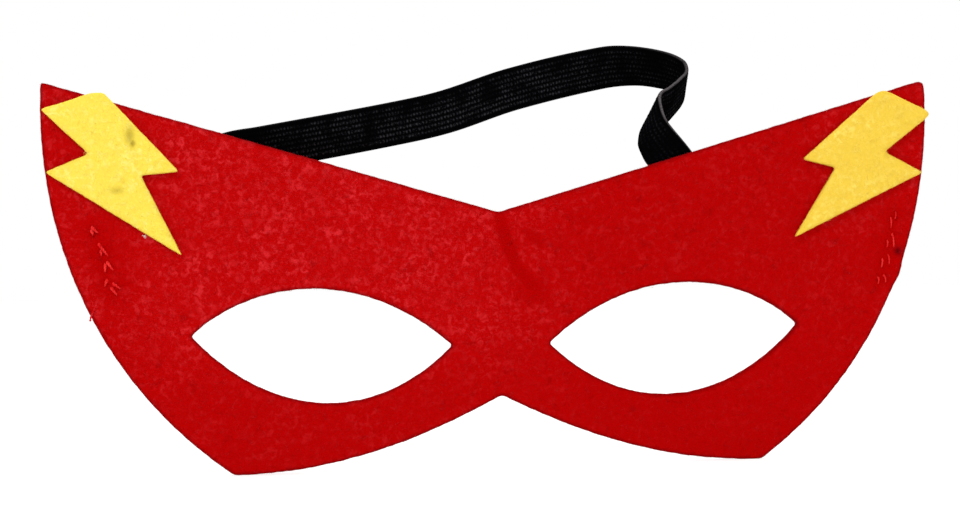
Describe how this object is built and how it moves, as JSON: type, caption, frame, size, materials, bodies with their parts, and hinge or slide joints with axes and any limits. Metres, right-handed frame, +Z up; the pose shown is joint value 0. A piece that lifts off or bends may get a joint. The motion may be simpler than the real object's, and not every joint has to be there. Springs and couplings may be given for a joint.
{
  "type": "felt eye mask",
  "caption": "Child's dress-up eye mask: pointed felt panel with two eye holes, a felt lightning bolt glued at each temple and an elastic head strap sewn behind.",
  "frame": {"origin": "back face of the felt panel, in the middle of the nose bridge", "axes": "+X to a viewer's right as the viewer faces the mask, +Y back towards the wearer's face, +Z up"},
  "size_m": [0.2013, 0.0292, 0.0973],
  "materials": {
    "red_felt": "matte needle-punched craft felt",
    "yellow_felt": "matte needle-punched craft felt",
    "hot_glue": "satin hot-melt film",
    "black_elastic": "ribbed braided elastic",
    "red_thread": "spun polyester sewing thread"
  },
  "bodies": {
    "mask": {"mask_panel": "red_felt", "bolt_left": "yellow_felt", "bolt_right": "yellow_felt", "bolt_glue_left": "hot_glue", "bolt_glue_right": "hot_glue", "elastic_strap_end_left": "black_elastic", "elastic_strap_end_right": "black_elastic", "needle_thread_left": "red_thread", "needle_thread_right": "red_thread", "bobbin_thread_left": "red_thread", "bobbin_thread_right": "red_thread"},
    "strap": {"elastic_strap": "black_elastic"}
  },
  "joints": [
    {"name": "strap_swing", "type": "hinge", "parent": "mask", "child": "strap", "pos_m": [0, 0.0019, 0.024], "axis": [-1, 0, 0], "range_deg": [0, 130], "stiffness_Nm_per_rad": 0.004}
  ]
}
